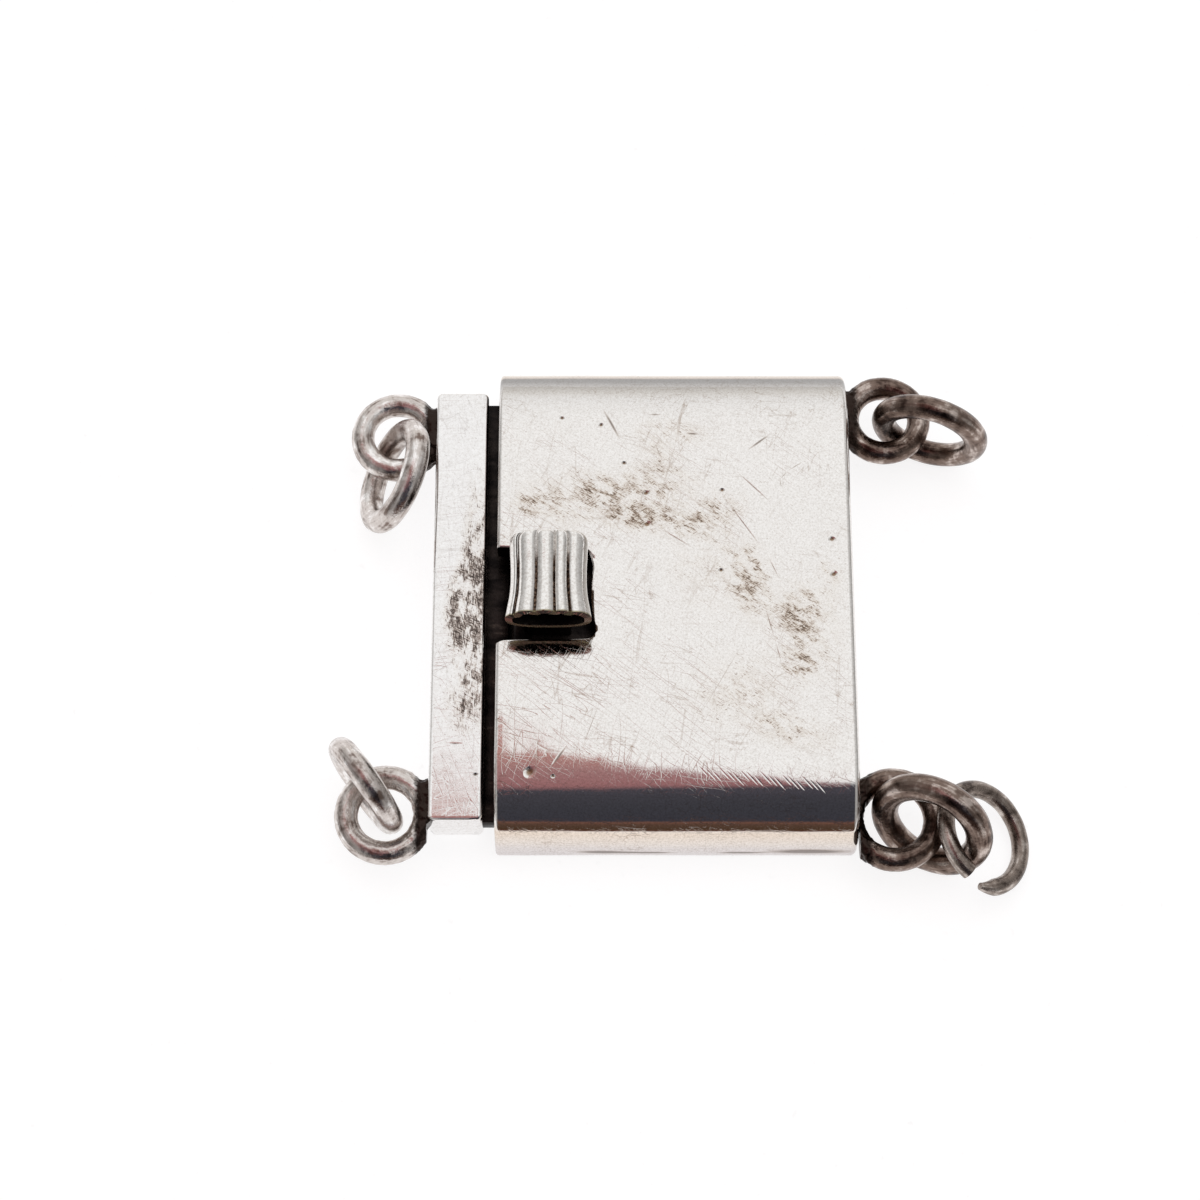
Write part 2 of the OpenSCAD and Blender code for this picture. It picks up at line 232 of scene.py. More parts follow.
def worn_sheet_and_painted_bends(name, scratches, pits, dents, stains, tones, rough, stain_depth, lay=0, ends=0.0, fine=0.34):
    """Polished sterling sheet, worn dull by years of wear: fine hairlines, nicks and brown tarnish.

    The tones are three of the bare metal, then the darkest and the palest of the tarnish. The lay
    turns the hairlines, fine is how dark they are, and ends is 1 where painted reflections and
    painted shade are laid on the far bend and the near wall.
    """
    material, tree, shader = new_material(name)
    place = add(tree, "ShaderNodeTexCoord").outputs["Object"]
    cuts = [add(tree, MATH, mark(tree, place, m, r, t), s, operation="MULTIPLY") for m, r, t, s in scratches]
    nicks = [mark(tree, place, m, r, t) for m, r, t in pits]
    bruises = [mark(tree, place, m, r, t) for m, r, t in dents]
    clouds = [add(tree, MATH, mark(tree, place, m, r, t), s, operation="MULTIPLY") for m, r, t, s in stains]

    lines = total(tree, [
        hairlines(tree, place, 0.35, 5.0, lay - 38, 0.012),
        hairlines(tree, place, 0.5, 6.0, lay + 62, 0.010),
        hairlines(tree, place, 0.6, 4.0, lay - 8, 0.010),
        hairlines(tree, place, 0.8, 7.0, lay + 84, 0.008)])
    worn = grain(tree, place, 3.0, detail=2)
    worn = stops(add(tree, RAMP, worn), (0.38, 0.25), (0.62, 1.0))
    lines = add(tree, MATH, lines, worn, operation="MULTIPLY")
    cut = add(tree, MATH, total(tree, cuts), 1.0, operation="MINIMUM")
    nick = add(tree, MATH, total(tree, nicks), 1.0, operation="MINIMUM")

    # tarnish stands in short fine streaks, in broken islands where a stain lies
    speckle = grain(tree, place, 0.10, detail=3, rough=0.7)
    streak = grain(tree, place, 0.06, 0.30, lay - 33, detail=3, rough=0.65)
    crossed = grain(tree, place, 0.07, 0.26, lay + 28, detail=2)
    island = grain(tree, place, 0.4, 0.8, lay - 33, detail=3)
    island = stops(add(tree, RAMP, island), (0.38, 0.25), (0.6, 1.1))
    cloud = add(tree, MATH, total(tree, clouds), 1.1, operation="MINIMUM")
    cloud = add(tree, MATH, cloud, island, operation="MULTIPLY")
    most = add(tree, MATH, streak, add(tree, MATH, crossed, 0.03, operation="SUBTRACT"), operation="MAXIMUM")
    thick = add(tree, MATH, cloud, stain_depth, most, operation="MULTIPLY_ADD")
    tarnish = stops(add(tree, RAMP, thick), (0.65, 0.0), (0.80, 0.92), smooth=False)
    cut_deep = stops(add(tree, RAMP, cut), (0.08, 0.0), (0.85, 0.75))
    pitted = stops(add(tree, RAMP, nick), (0.2, 0.0), (0.7, 1.0))
    tarnish = add(tree, MATH, tarnish, pitted, operation="MAXIMUM")
    tarnish = add(tree, MATH, tarnish, cut_deep, operation="MAXIMUM")
    faint = add(tree, MATH, lines, fine, operation="MULTIPLY")
    tarnish = add(tree, MATH, tarnish, faint, operation="MAXIMUM")

    body = stops(add(tree, RAMP, speckle), (0.35, tones[0]), (0.5, tones[1]), (0.66, tones[2]))
    haze = add(tree, MATH, cloud, 0.3, operation="MULTIPLY")
    warm = add(tree, MIX, ("Factor", haze), (6, body), (7, colour("C9B79E")), data_type="RGBA")
    deepest = add(tree, MATH, cut_deep, 0.25, 0.65, operation="MULTIPLY_ADD")
    deepest = add(tree, MATH, thick, deepest, operation="MAXIMUM")
    brown = stops(add(tree, RAMP, deepest), (0.7, tones[4]), (0.9, tones[3]))
    base = add(tree, MIX, ("Factor", tarnish), (6, warm.outputs[2]), (7, brown), data_type="RGBA")
    # the far bend gets a painted grey band and a thin cream line, a painted reflection of the room and paper,
    # and the near wall a painted cream reflection of the paper near its top; both are ramps over the height,
    # as a share of 5 mm
    parts = add(tree, "ShaderNodeSeparateXYZ", place)
    height_up = add(tree, MATH, parts.outputs[2], 1 / (5 * MM), operation="MULTIPLY")
    grey = stops(add(tree, RAMP, height_up), (0.42, "F3F1EF"), (0.56, "F6ECE0"), (0.615, "DDD2C8"),
                 (0.645, 0.33), (0.70, 0.42), (0.76, 0.66), (0.82, 0.86), (0.9, 1.0), smooth=False)
    near_wall_painted_reflection = stops(add(tree, RAMP, height_up), (0.12, "F2F0F0"), (0.18, "E6E2E5"), (0.34, "EDE9E9"),
                  (0.42, "F5EFEA"), (0.54, "F5E9DD"), (0.62, 1.0), smooth=False)
    far = add(tree, MATH, parts.outputs[1], BEND_Y * MM, operation="GREATER_THAN")
    near = add(tree, MATH, parts.outputs[1], -BEND_Y * MM, operation="LESS_THAN")
    wall = add(tree, MIX, ("Factor", near), (6, (1, 1, 1, 1)), (7, near_wall_painted_reflection), data_type="RGBA")
    both = add(tree, MIX, ("Factor", far), (6, wall.outputs[2]), (7, grey), data_type="RGBA")
    base_with_painted_bends = add(tree, MIX, ("Factor", ends), (6, base.outputs[2]), (7, both.outputs[2]), data_type="RGBA",
                 blend_type="MULTIPLY")

    wear = add(tree, MATH, speckle, 0.05, rough, operation="MULTIPLY_ADD")
    dull = add(tree, MATH, tarnish, 0.25, wear, operation="MULTIPLY_ADD")

    height = total(tree, [
        add(tree, MATH, speckle, 0.16, operation="MULTIPLY"),
        add(tree, MATH, grain(tree, place, 0.9, detail=1), 0.7, operation="MULTIPLY"),
        add(tree, MATH, tarnish, -0.35, operation="MULTIPLY"),
        add(tree, MATH, lines, -0.22, operation="MULTIPLY"),
        add(tree, MATH, cut, -1.2, operation="MULTIPLY"),
        add(tree, MATH, total(tree, bruises), -3.0, operation="MULTIPLY"),
        add(tree, MATH, nick, -16.0, operation="MULTIPLY")])
    bump = add(tree, "ShaderNodeBump", ("Height", height), ("Strength", 1.0), ("Distance", 0.004 * MM))
    feed(tree, shader, ("Base Color", base_with_painted_bends.outputs[2]), ("Roughness", dull), ("Normal", bump))
    return material


# Scratches on the plate: middle, reach along, across and through, turn, strength. The reach
# through keeps them off the underside.
TOP = BOX_H
PLATE_SCRATCHES = [
    ((x, y, TOP), (half, wide, 2.0), turn, strong) for x, y, half, wide, turn, strong in [
        (-3.20, 8.90, 1.35, 0.11, -63, 1.0), (-0.96, 9.46, 0.5, 0.08, 0, 0.8),
        (0.96, 8.36, 0.5, 0.09, -4, 1.0), (-0.79, 7.33, 0.75, 0.05, -68, 0.7),
        (4.37, 7.91, 0.95, 0.09, 37, 1.0), (6.23, 6.57, 0.65, 0.05, 33, 0.7),
        (5.58, 6.04, 0.4, 0.05, 50, 0.7), (5.42, 5.60, 0.35, 0.05, -85, 0.7),
        (4.03, 5.40, 1.8, 0.05, -45, 0.8), (3.48, 3.39, 2.3, 0.05, -56, 0.8),
        (4.98, 0.93, 1.0, 0.05, -66, 0.7), (4.71, -2.03, 1.1, 0.05, -75, 0.8),
        (5.10, -3.57, 0.9, 0.05, -77, 0.7), (2.18, -5.10, 4.0, 0.04, 60, 0.6),
        (-5.80, -9.00, 0.85, 0.10, 55, 1.0), (-4.26, -7.47, 1.9, 0.045, 70, 0.7),
        (0.08, 2.57, 1.6, 0.06, -33, 0.7)]]
# Dark line and dashes low on the near wall.
PLATE_SCRATCHES += [
    ((x, -12.95, z), (half, 0.5, high), 0, 1.3) for x, z, half, high in [
        (6.6, 1.35, 2.9, 0.42), (3.2, 1.2, 1.6, 0.2), (-1.4, 1.2, 1.8, 0.2), (-3.6, 1.25, 1.9, 0.3)]]
# Parallel nicks where the near bend begins, at the right.
PLATE_DENTS = [
    ((1.3 + 0.34 * k, -9.75 - 0.035 * k - 0.09 * (k % 3), 4.3), (0.35 + 0.1 * (k % 2), 0.055, 1.0), -47)
    for k in range(18)]
PLATE_PITS = [
    ((x, y, TOP), (size, size * 0.8, 2.0), turn) for x, y, size, turn in [
        (-5.75, 9.24, 0.14, 0), (-3.74, 8.84, 0.14, 30), (-2.56, 6.71, 0.14, 0), (-1.45, 5.04, 0.2, 20),
        (2.43, 5.21, 0.15, 0), (2.31, 0.82, 0.14, 0), (7.95, 2.51, 0.2, 0), (7.99, 0.61, 0.22, 40),
        (-7.22, -9.77, 0.36, 35), (-6.09, -9.98, 0.13, 0), (-1.41, 3.33, 0.25, 10)]]
PLATE_STAINS = [
    ((x, y, TOP), (along, across, 2.0), turn, strong) for x, y, along, across, turn, strong in [
        (-7.5, 4.35, 1.1, 0.8, 0, 1.3), (-6.1, 4.5, 2.6, 1.5, -30, 0.95), (-4.3, 5.3, 2.2, 1.3, -20, 0.95),
        (-2.3, 5.0, 2.6, 2.0, 10, 1.05), (-1.9, 3.6, 3.4, 1.0, -10, 1.1), (0.9, 3.3, 2.4, 1.0, -12, 1.0),
        (0.1, 8.4, 2.2, 0.9, -5, 0.75), (2.3, 4.1, 1.8, 1.2, 20, 0.95), (-0.2, 5.0, 2.8, 2.4, -30, 0.55),
        (3.7, -0.2, 2.6, 1.3, -75, 1.0), (3.6, 1.6, 2.4, 1.2, -50, 0.7), (6.4, -2.5, 3.2, 2.2, -75, 1.0),
        (6.15, -4.3, 1.2, 0.8, 20, 1.3), (6.6, -1.0, 2.4, 1.3, 30, 0.8), (3.1, -5.6, 4.0, 2.4, 15, 0.6),
        (5.48, -7.61, 3.0, 1.3, -15, 0.85), (7.7, 0.7, 1.0, 0.7, -30, 1.0), (-0.8, 7.2, 2.4, 1.2, -60, 0.6),
        (2.0, 0.6, 3.6, 2.4, -30, 0.4)]]
BAR_STAINS = [
    ((x, y, 3.05), (along, across, 1.2), 90, strong) for x, y, along, across, strong in [
        (-10.1, 2.6, 5.0, 0.9, 1.25), (-10.4, -1.7, 3.8, 1.5, 1.6), (-10.5, -5.9, 1.9, 1.3, 1.2),
        (-10.0, -3.9, 2.2, 0.9, 1.2), (-10.9, -1.0, 3.0, 1.0, 1.0), (-10.2, 0.8, 2.6, 1.2, 1.3)]]

# Sterling silver sheet, buffed bright and then carried for years: a white mirror with a fine
# scratched grain, brown where tarnish sits in the scratches.
# ends=1.0 lays the painted reflections and painted shade on the far bend and the near wall
sheet_silver = worn_sheet_and_painted_bends("worn sterling silver sheet with painted bend reflections",
                          PLATE_SCRATCHES, PLATE_PITS, PLATE_DENTS, PLATE_STAINS,
                          ("DDD9D5", "ECE9E6", "F5F3F1", "46362C", "967E68"), 0.035, 0.185, ends=1.0)
# The same sheet on the end bar, filed lengthways, with a dark worn patch beside the thumb tab.
bar_silver = worn_sheet_and_painted_bends("filed sterling silver bar",
                        [((-11.0, -7.9, 3.05), (0.4, 0.08, 1), 0, 0.8)],
                        [((-9.95, -9.5, 3.05), (0.14, 0.1, 1), 0)],
                        [((-11.4, 6.0, 3.05), (0.9, 0.06, 1), 88)], BAR_STAINS,
                        ("E4E1DE", "EFEDEC", "F6F5F4", "2C2422", "85746B"), 0.035, 0.22, lay=123, fine=0.2)


def fluted_silver():
    """Cast silver, rubbed bright on the flutes, with black-brown tarnish left in the grooves and painted
    shade on its underside.
    """
    material, tree, shader = new_material("rubbed cast silver with painted underside shade")
    place = add(tree, "ShaderNodeTexCoord").outputs["Object"]
    groove = add(tree, "ShaderNodeAttribute", attribute_name="groove").outputs["Fac"]
    speckle = grain(tree, place, 0.12, detail=3, rough=0.7)
    patchy = grain(tree, place, 0.35, 0.8, 90, detail=2)
    parts = add(tree, "ShaderNodeSeparateXYZ", place)
    # how many mm a point lies nearer than 0.9 mm past the middle, and lower than 7 mm up
    nearer = add(tree, MATH, parts.outputs[1], -1 / MM, 0.9, operation="MULTIPLY_ADD")
    lower = add(tree, MATH, parts.outputs[2], -1 / MM, 7.0, operation="MULTIPLY_ADD")
    # the grooves are clean over the far third, and the underside of the tab is painted black throughout as
    # painted shade
    near = stops(add(tree, RAMP, nearer), (0.0, 0.25), (0.9, 1.0))
    painted_underside_shade = stops(add(tree, RAMP, lower), (0.4, 0.0), (0.9, 1.0))
    deep = add(tree, MATH, groove, 0.25, operation="SUBTRACT")
    deep = add(tree, MATH, patchy, 0.5, deep, operation="MULTIPLY_ADD")
    dark = add(tree, MATH, stops(add(tree, RAMP, deep), (0.5, 0.0), (0.9, 1.0)), near, operation="MULTIPLY")
    # the painted shade of the underside joins the groove tarnish in one dark mask
    dark = add(tree, MATH, dark, painted_underside_shade, operation="MAXIMUM")
    brown = stops(add(tree, RAMP, speckle), (0.4, "2A1D18"), (0.65, "8A7462"))
    body = stops(add(tree, RAMP, speckle), (0.35, "D9D4CF"), (0.6, "F2F0ED"))
    base = add(tree, MIX, ("Factor", dark), (6, body), (7, brown), data_type="RGBA")
    # the cut rim at the near end has gone the colour of bronze
    at_rim = add(tree, MATH, parts.outputs[1], -1 / MM, -2.5, operation="MULTIPLY_ADD")
    rim = stops(add(tree, RAMP, at_rim), (0.0, 0.0), (0.07, 0.85))
    rimmed = add(tree, MIX, ("Factor", rim), (6, base.outputs[2]), (7, colour("9C9272")), data_type="RGBA")
    dull = add(tree, MATH, dark, 0.35, 0.07, operation="MULTIPLY_ADD")
    bump = add(tree, "ShaderNodeBump", ("Height", speckle), ("Strength", 1.0), ("Distance", 0.004 * MM))
    feed(tree, shader, ("Base Color", rimmed.outputs[2]), ("Roughness", dull), ("Normal", bump))
    return material


def wire_silver(name, dark, middle, light, rough):
    """Drawn silver wire, oxidised grey-brown, rubbed lighter in streaks that run along it."""
    material, tree, shader = new_material(name)
    along = add(tree, "ShaderNodeAttribute", attribute_name="along").outputs["Vector"]
    around = add(tree, "ShaderNodeAttribute", attribute_name="around").outputs["Vector"]
    place = add(tree, "ShaderNodeTexCoord").outputs["Object"]
    solder = add(tree, "ShaderNodeAttribute", attribute_name="solder").outputs["Fac"]
    parts = add(tree, "ShaderNodeSeparateXYZ", around)
    # streaks: about 0.14 mm across and ten times as long, following the wire
    turned = add(tree, MATH, parts.outputs[0], 7.0, operation="MULTIPLY")
    turned = add(tree, "ShaderNodeCombineXYZ", ("Z", turned))
    run = add(tree, VECTOR, along, (0.7, 0.7, 0.7), operation="MULTIPLY")
    mixed = add(tree, VECTOR, run, turned, operation="ADD")
    outwards = add(tree, MATH, parts.outputs[1], 7.0, operation="MULTIPLY")
    streak = add(tree, NOISE, ("Vector", mixed), ("W", outwards), ("Scale", 1.0), ("Detail", 4.0),
                 ("Roughness", 0.6), noise_dimensions="4D").outputs["Fac"]
    cloud = grain(tree, place, 0.8, detail=3)
    pitted = grain(tree, place, 0.12, detail=3, rough=0.7)
    tone = add(tree, MATH, streak, 0.38, operation="MULTIPLY")
    tone = add(tree, MATH, cloud, 0.62, tone, operation="MULTIPLY_ADD")
    body = stops(add(tree, RAMP, tone), (0.36, dark), (0.50, middle), (0.64, light))
    sooty = add(tree, MATH, solder, 0.25, operation="SUBTRACT")
    sooty = add(tree, MATH, pitted, 0.5, sooty, operation="MULTIPLY_ADD")
    black = stops(add(tree, RAMP, sooty), (0.35, 0.0), (0.75, 1.0))
    base = add(tree, MIX, ("Factor", black), (6, body), (7, colour("322925")), data_type="RGBA")
    dull = add(tree, MATH, pitted, 0.25, rough, operation="MULTIPLY_ADD")
    height = total(tree, [
        add(tree, MATH, streak, 0.6, operation="MULTIPLY"),
        add(tree, MATH, pitted, 0.7, operation="MULTIPLY")])
    bump = add(tree, "ShaderNodeBump", ("Height", height), ("Strength", 1.0), ("Distance", 0.02 * MM))
    feed(tree, shader, ("Base Color", base.outputs[2]), ("Roughness", dull), ("Normal", bump))
    return material


# Oxidised silver wire: brown-grey with rubbed light streaks, near black beside the solder.
ring_silver = wire_silver("oxidised silver wire", "3F312B", "7C6B62", "C9BCB4", 0.08)
# The rings at the left are rubbed nearly clean: white silver with brown left in patches.
bright_silver = wire_silver("rubbed silver wire", "7C6C64", "D0C8C3", "F7F4F2", 0.06)
# The open ring is duller, greener grey and less rubbed.
open_silver = wire_silver("dull oxidised silver wire", "4A403B", "8B7F77", "CDC4BD", 0.14)
tab_silver = fluted_silver()


def blackened_silver():
    """Silver inside the clasp, which no cloth reaches: sooty brown-black, dull, a little streaky."""
    material, tree, shader = new_material("blackened silver")
    place = add(tree, "ShaderNodeTexCoord").outputs["Object"]
    cloud = grain(tree, place, 0.7, 2.0, 0, detail=4)
    pitted = grain(tree, place, 0.1, detail=2)
    tone = stops(add(tree, RAMP, cloud), (0.35, "1D1A1A"), (0.6, "332D2B"), (0.75, "5A504A"))
    dull = add(tree, MATH, pitted, 0.3, 0.25, operation="MULTIPLY_ADD")
    bump = add(tree, "ShaderNodeBump", ("Height", pitted), ("Strength", 1.0), ("Distance", 0.01 * MM))
    feed(tree, shader, ("Base Color", tone), ("Roughness", dull), ("Normal", bump))
    return material


inner_silver = blackened_silver()


# Box and end bar

def box_outline(x, share):
    """Loop round the box in Y and Z: share 0 is its outside and 1 the inside of the sheet."""
    def loop(half, z0, z1, bend):
        run, drop, low = bend
        points = arc(half - run, z1 - drop, run, drop, 0, 90, 28)
        flat = 2 * (half - run)
        points += [(half - run - flat * k / 88, z1) for k in range(1, 88)]
        points += arc(-half + run, z1 - drop, run, drop, 90, 180, 28)
        points += arc(-half + low, z0 + low, low, low, 180, 270, 6)
        points += [(-half + low + 2 * (half - low) * k / 12, z0) for k in range(1, 12)]
        points += arc(half - low, z0 + low, low, low, 270, 360, 6)
        return points
    outer = loop(HALF_WID, 0.0, BOX_H, OUTER_BEND)
    inner = loop(HALF_WID - SHEET, SHEET, ROOF_Z, INNER_BEND)
    return [(x, a[0] + (b[0] - a[0]) * share, a[1] + (b[1] - a[1]) * share) for a, b in zip(outer, inner)]


# Below this height the sheet is the flat underside with its small bends.
LOW_EDGE_Z = 0.9


def share_of(value, reach):
    """A value as a share of its reach, held between 0 and 1."""
    return min(1.0, max(0.0, value / reach))


def hand_bent(point):
    """Hand-bent sheet is never quite flat: slow hollows of a hundredth of a millimetre or two."""
    x, y, z = point
    slow = noise.noise(Vector((x * 0.16, y * 0.22, z * 0.2)))
    quick = noise.noise(Vector((x * 0.55 + 9, y * 0.6, z * 0.6)))
    sink = 0.012 * (1 + slow) + 0.003 * (1 + quick)
    # the near left corner of the top has been knocked down a little
    if z > LOW_EDGE_Z:
        near = share_of(-6.3 - y, 3.5)
        sink += 0.05 * near * near * (3 - 2 * near) * share_of(-3.5 - x, 4)
    inward = Vector((0, -y / HALF_WID if abs(y) > BEND_Y else 0, -1 if z > LOW_EDGE_Z else 0.0))
    return Vector(point) + inward * sink


def hand_bent_loop(x, share):
    return [tuple(hand_bent(p)) for p in box_outline(x, share)]


def box_shell():
    """The wrapped sheet: up the inside from the closed end, round the mouth and back outside."""
    rim, edge, hem = 0.2, 0.3, 0.1
    back = END_X - SHEET
    loops = [box_outline(back - (back - MOUTH_X - rim) * k / 12, 1.0) for k in range(13)]
    for k in range(1, 5):
        turn = math.radians(90 * k / 4)
        share = 1 - hem * (1 - math.cos(turn)) / SHEET
        loops.append(box_outline(MOUTH_X + hem * (1 - math.sin(turn)), share))
    for k in range(5):
        turn = math.radians(90 * k / 4)
        loops.append(hand_bent_loop(MOUTH_X + rim * (1 - math.cos(turn)), rim * (1 - math.sin(turn)) / SHEET))
    steps = 84
    first, last = MOUTH_X + rim, END_X - edge
    for k in range(1, steps + 1):
        x = first + (last - first) * k / steps
        loops.append(hand_bent_loop(x, 0.0))
    for k in range(1, 5):
        turn = math.radians(90 * k / 4)
        loops.append(hand_bent_loop(last + edge * math.sin(turn), edge * (1 - math.cos(turn)) / SHEET))
    loops.append(hand_bent_loop(END_X, (edge + 0.1) / SHEET))
    shell = work(loft("shell", loops))

    # the lip that the catch stops behind, soldered under the roof on both sides of the notch
    lip = work(block_mesh((MOUTH_X + 0.02, MOUTH_X + 0.7, -8.8, 8.8, 3.2, 3.78), 0.06))
    join = modify(shell, "BOOLEAN", operation="UNION", solver="EXACT")
    join.object = lip
    cutter = work(notch_cutter())
    cut = modify(shell, "BOOLEAN", operation="DIFFERENCE", solver="EXACT")
    cut.object = cutter
    modify(shell, "WEIGHTED_NORMAL", keep_sharp=True, weight=60)
    mesh = baked(shell)
    for tool in (lip, cutter):
        bpy.data.objects.remove(tool)
    return mesh


def blacken_inside(mesh):
    """The box's inner faces and the cut edges of the notch take its second finish."""
    for face in mesh.polygons:
        x, y, z = face.center / MM
        inward = face.normal.y * y + face.normal.z * (z - BOX_H / 2) < -0.1
        end = abs(face.normal.x) > 0.9 and MOUTH_X + 0.01 < x < END_X - SHEET / 2
        cut = MOUTH_X + 0.3 < x < NOTCH_END and -3.0 < y < 2.2 and 3.0 < z < BOX_H - 0.11
        if (inward and x > MOUTH_X + 0.05) or end or cut:
            face.material_index = 1


# Outline of the filed notch, from the far side of the mouth round to the near side, and a line
# just past its inner end.
NOTCH = [(-9.6, 2.1), (-8.8, 2.06), (-6.5, 2.0), (-4.75, 1.98), (-4.38, 1.86), (-4.24, 1.5),
         (-4.14, 1.0), (-4.22, 0.55), (-4.28, 0.1), (-4.28, -0.8), (-4.2, -1.6), (-4.04, -2.15),
         (-4.04, -2.5), (-4.2, -2.76), (-4.55, -2.84), (-6.5, -2.86), (-8.5, -2.88), (-8.82, -2.95),
         (-9.0, -3.12), (-9.6, -3.3)]
NOTCH_END = -3.5


def rounded(points, rounds=2):
    """Corner cutting on an open line, which keeps its two ends."""
    for _ in range(rounds):
        cut = [points[0]]
        for a, b in zip(points, points[1:]):
            cut.append((0.75 * a[0] + 0.25 * b[0], 0.75 * a[1] + 0.25 * b[1]))
            cut.append((0.25 * a[0] + 0.75 * b[0], 0.25 * a[1] + 0.75 * b[1]))
        points = cut + [points[-1]]
    return points


def notch_cutter():
    """Prism that cuts the notch. It flares at the top, so that the cut edge comes out rounded."""
    line, wear, top = rounded(NOTCH), 0.1, BOX_H - 0.012

    def grown(by):
        out = []
        for k, (x, y) in enumerate(line):
            before, after = Vector(line[max(k - 1, 0)]), Vector(line[min(k + 1, len(line) - 1)])
            along = (after - before).normalized()
            out.append((x - along.y * by, y + along.x * by))
        return out
    loops = [[(x, y, 3.08) for x, y in grown(0)]]
    for k in range(6):
        turn = math.radians(90 * k / 5)
        flared = grown(wear * (1 - math.cos(turn)))
        loops.append([(x, y, top - wear + wear * math.sin(turn)) for x, y in flared])
    loops.append([(x, y, 5.2) for x, y in grown(wear)])
    return loft("notch", loops)


def block_mesh(box, wear):
    """A block between low and high X, Y and Z with its edges worn round."""
    x0, x1, y0, y1, z0, z1 = box
    points = [(x, y, z) for z in (z0, z1) for x, y in ((x0, y0), (x1, y0), (x1, y1), (x0, y1))]
    faces = [(3, 2, 1, 0), (4, 5, 6, 7), (0, 1, 5, 4), (1, 2, 6, 5), (2, 3, 7, 6), (3, 0, 4, 7)]
    obj = work(mesh_of("block", points, faces))
    modify(obj, "BEVEL", width=wear, segments=3, limit_method="NONE")
    modify(obj, "WEIGHTED_NORMAL", weight=60)
    return baked(obj)


def worn_bar():
    """End bar: rounded corners and edges rubbed round."""
    x0, x1, y0, y1, z0, z1 = BAR
    corner, wear = 0.3, 0.16

    def outline(inset, z):
        r = corner - inset
        bends = [arc(cx, cy, r, r, start, start + 90, 6) for cx, cy, start in (
            (x1 - corner, y0 + corner, -90), (x1 - corner, y1 - corner, 0),
            (x0 + corner, y1 - corner, 90), (x0 + corner, y0 + corner, 180))]
        points = []
        for bend, following, parts in zip(bends, bends[1:] + bends[:1], (64, 6, 64, 6)):
            (ax, ay), (bx, by) = bend[-1], following[0]
            points += bend
            points += [(ax + (bx - ax) * k / parts, ay + (by - ay) * k / parts) for k in range(1, parts)]
        return [(x, y, z) for x, y in points]
    loops = [outline(0.28, z0)]
    for k in range(5):
        turn = math.radians(90 * k / 4)
        loops.append(outline(wear * (1 - math.sin(turn)), z0 + wear * (1 - math.cos(turn))))
    loops.append(outline(0, (z0 + z1) / 2))
    for k in range(5):
        turn = math.radians(90 * k / 4)
        loops.append(outline(wear * (1 - math.cos(turn)), z1 - wear + wear * math.sin(turn)))
    loops += [outline(0.22, z1), outline(0.28, z1)]
    obj = work(loft("bar", loops))
    modify(obj, "WEIGHTED_NORMAL", weight=60)
    return baked(obj)


def strip_mesh(outline, y0, y1, wear):
    """A strip drawn in X and Z and as wide as given across Y, its edges worn round."""
    n = len(outline)
    points = [(x, y, z) for y in (y0, y1) for x, z in outline]
    faces = [(k, (k + 1) % n, n + (k + 1) % n, n + k) for k in range(n)]
    faces += [tuple(range(n - 1, -1, -1)), tuple(range(n, 2 * n))]
    obj = work(outward(mesh_of("strip", points, faces)))
    modify(obj, "BEVEL", width=wear, segments=2, angle_limit=math.radians(50))
    return baked(obj)


def upper_leaf():
    """The folded end, the sprung upper leaf and its upturned catch, in one strip."""
    x, z, outer, inner = FOLD
    outline = arc(x, z, outer, outer, -90, 90, 14)
    outline += [(-7.2, 3.05), (-7.55, 3.5), (-7.65, 3.55), (-8.05, 3.55), (-8.1, 3.5), (-8.1, 2.55)]
    outline += arc(x, z, inner, inner, 90, -90, 10)
    return strip_mesh(outline, -9.0, 9.0, 0.05)


# Geometry node trees

def new_tree(name, *inputs):
    """An empty tree with named inputs, each (name, kind, value), and its two end nodes."""
    tree = bpy.data.node_groups.new(name, "GeometryNodeTree")
    tree.interface.new_socket("Geometry", in_out="INPUT", socket_type="NodeSocketGeometry")
    tree.interface.new_socket("Geometry", in_out="OUTPUT", socket_type="NodeSocketGeometry")
    for label, kind, value in inputs:
        socket = tree.interface.new_socket(label, in_out="INPUT", socket_type="NodeSocket" + kind)
        if value is not None:
            socket.default_value = value
    return tree, tree.nodes.new("NodeGroupInput"), tree.nodes.new("NodeGroupOutput")


def end_tree(tree, given, output, geometry):
    """Every tree ends the same way: smooth, real geometry with its material."""
    smooth = add(tree, "GeometryNodeSetShadeSmooth", ("Geometry", geometry))
    real = add(tree, "GeometryNodeRealizeInstances", ("Geometry", smooth))
    done = add(tree, "GeometryNodeSetMaterial", ("Geometry", real), ("Material", given.outputs["Finish"]))
    feed(tree, output, done)
    return tree


